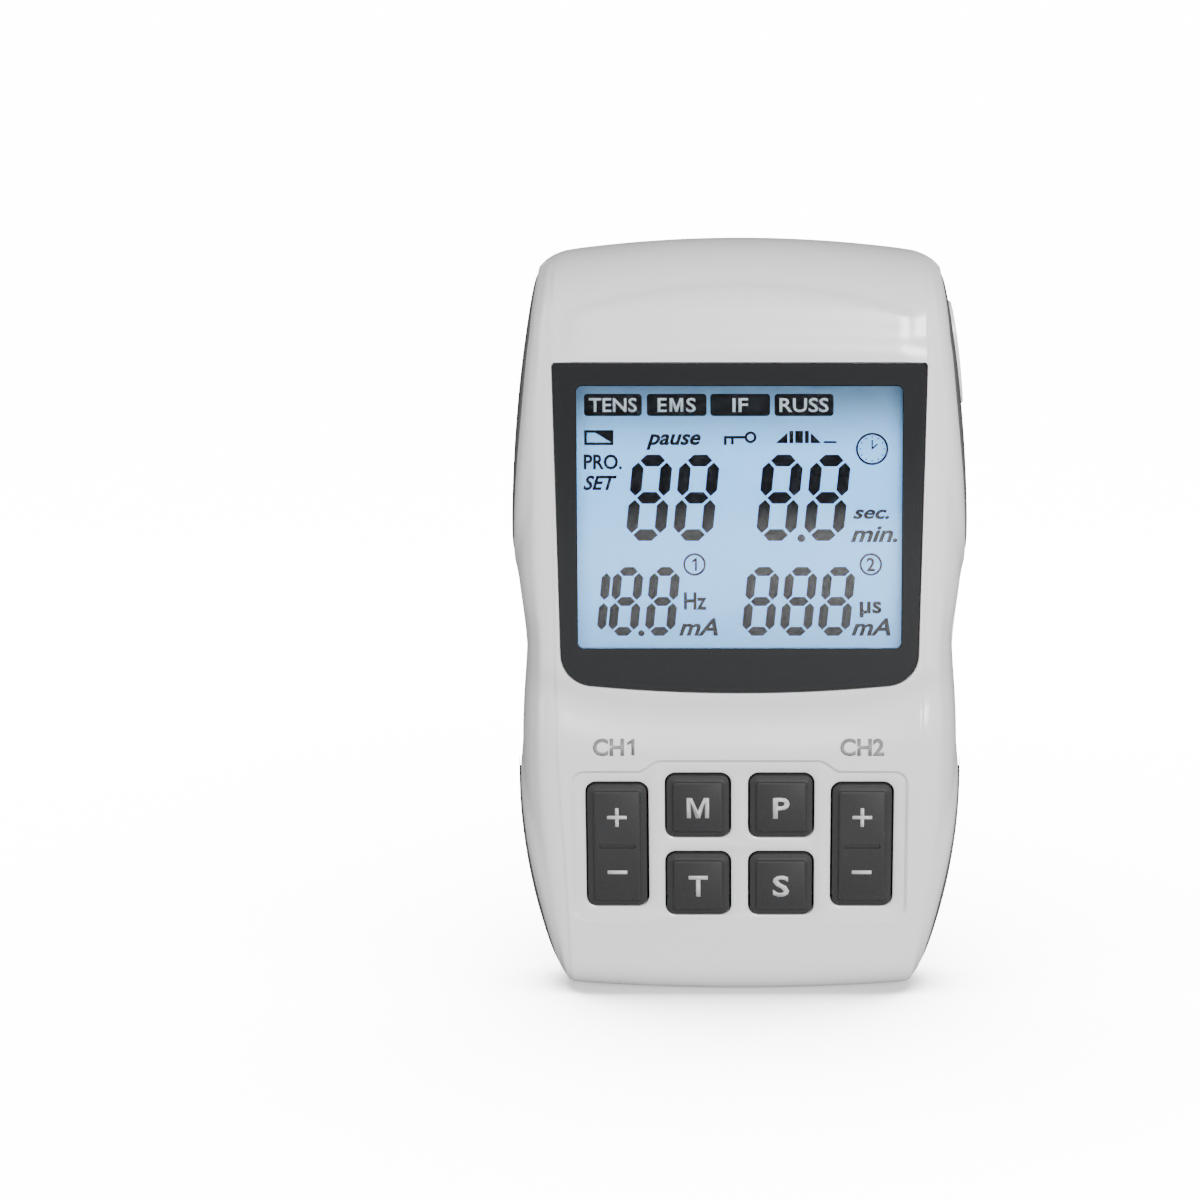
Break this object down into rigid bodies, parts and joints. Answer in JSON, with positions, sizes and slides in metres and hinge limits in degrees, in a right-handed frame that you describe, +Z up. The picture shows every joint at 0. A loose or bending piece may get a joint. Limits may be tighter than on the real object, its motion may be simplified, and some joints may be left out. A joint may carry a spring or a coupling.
{
  "type": "tens unit",
  "caption": "Handheld nerve and muscle stimulator with a tilted screen, square and rocker keys, rubber side grips, a side power button, lead sockets and a belt clip.",
  "frame": {"origin": "centre of the bounding box's lowest plane: the standing foot, midway between the keys' faces and the back of the belt clip", "axes": "+Z up the body towards the lead sockets, -Y out of the screen, +X towards the power button"},
  "size_m": [0.0712, 0.0361, 0.12],
  "materials": {
    "white_housing": "satin white moulding",
    "grey_grip": "matte soft-touch rubber",
    "grey_key": "matte moulded key",
    "black_lens": "polished black window",
    "black_tape": "adhesive foam",
    "lcd_glass": "blue-lit display glass",
    "white_frame": "moulded frame",
    "light_guide": "diffuser",
    "pink_elastomer": "striped elastomer",
    "circuit_board": "green solder mask",
    "black_chip": "moulded package",
    "small_parts": "chip parts",
    "transformer": "taped winding",
    "grey_mat": "silicone sheet",
    "white_button": "satin white",
    "switch_metal": "plated",
    "socket_black": "moulded",
    "gold_contact": "gold flashed",
    "socket_steel": "plated shell",
    "battery_wrap": "heat-shrink wrap",
    "screw_steel": "zinc plated",
    "spring_steel": "spring wire",
    "white_clip": "satin white moulding"
  },
  "bodies": {
    "housing": {"front_housing": "white_housing", "rear_housing": "white_housing", "display_lens": "black_lens", "lens_tape": "black_tape", "lcd_glass": "lcd_glass", "lcd_frame": "white_frame", "backlight_panel": "light_guide", "lcd_connector": "pink_elastomer", "main_board": "circuit_board", "microcontroller": "black_chip", "board_parts": "small_parts", "output_transformers": "transformer", "buzzer": "black_chip", "key_board": "circuit_board", "board_header": "black_chip", "key_mat": "grey_mat", "power_switch": "switch_metal", "power_board": "circuit_board", "upper_grip_right": "grey_grip", "upper_grip_left": "grey_grip", "lower_grip_right": "grey_grip", "lower_grip_left": "grey_grip", "output_socket_1": "socket_black", "output_socket_2": "socket_black", "socket_contacts": "gold_contact", "charging_socket": "socket_steel", "battery_pack": "battery_wrap", "battery_contacts": "gold_contact", "housing_screws": "screw_steel", "board_screws": "screw_steel", "clip_base": "white_clip", "clip_screws": "screw_steel", "clip_pin": "screw_steel", "clip_spring": "spring_steel"},
    "mode_key": {"mode_key": "grey_key"},
    "program_key": {"program_key": "grey_key"},
    "time_key": {"time_key": "grey_key"},
    "set_key": {"set_key": "grey_key"},
    "rocker_ch1": {"rocker_ch1": "grey_key"},
    "rocker_ch2": {"rocker_ch2": "grey_key"},
    "power_button": {"power_button": "white_button"},
    "battery_door": {"battery_door": "white_housing"},
    "clip_arm": {"clip_arm": "white_clip"}
  },
  "joints": [
    {"name": "mode_key_press", "type": "slide", "parent": "housing", "child": "mode_key", "axis": [0, 0.9951, 0.0993], "range_m": [0, 0.0008], "stiffness_N_per_m": 900, "springref_m": -0.0006},
    {"name": "program_key_press", "type": "slide", "parent": "housing", "child": "program_key", "axis": [0, 0.9951, 0.0993], "range_m": [0, 0.0008], "stiffness_N_per_m": 900, "springref_m": -0.0006},
    {"name": "time_key_press", "type": "slide", "parent": "housing", "child": "time_key", "axis": [0, 0.9951, 0.0993], "range_m": [0, 0.0008], "stiffness_N_per_m": 900, "springref_m": -0.0006},
    {"name": "set_key_press", "type": "slide", "parent": "housing", "child": "set_key", "axis": [0, 0.9951, 0.0993], "range_m": [0, 0.0008], "stiffness_N_per_m": 900, "springref_m": -0.0006},
    {"name": "rocker_ch1_rock", "type": "hinge", "parent": "housing", "child": "rocker_ch1", "pos_m": [-0.0193, -0.01281, 0.02586], "axis": [1, 0, 0], "range_deg": [-3, 3], "stiffness_Nm_per_rad": 0.12},
    {"name": "rocker_ch2_rock", "type": "hinge", "parent": "housing", "child": "rocker_ch2", "pos_m": [0.0193, -0.01281, 0.02586], "axis": [1, 0, 0], "range_deg": [-3, 3], "stiffness_Nm_per_rad": 0.12},
    {"name": "power_button_press", "type": "slide", "parent": "housing", "child": "power_button", "axis": [-1, 0, 0], "range_m": [0, 0.0006], "stiffness_N_per_m": 1200, "springref_m": -0.0005},
    {"name": "battery_door_slide", "type": "slide", "parent": "housing", "child": "battery_door", "axis": [0, -0.0802, -0.9968], "range_m": [0, 0.044]},
    {"name": "clip_pivot", "type": "hinge", "parent": "housing", "child": "clip_arm", "pos_m": [0, 0.01444, 0.09545], "axis": [1, 0, 0], "range_deg": [0, 12], "stiffness_Nm_per_rad": 0.15, "springref_deg": -20.05}
  ]
}
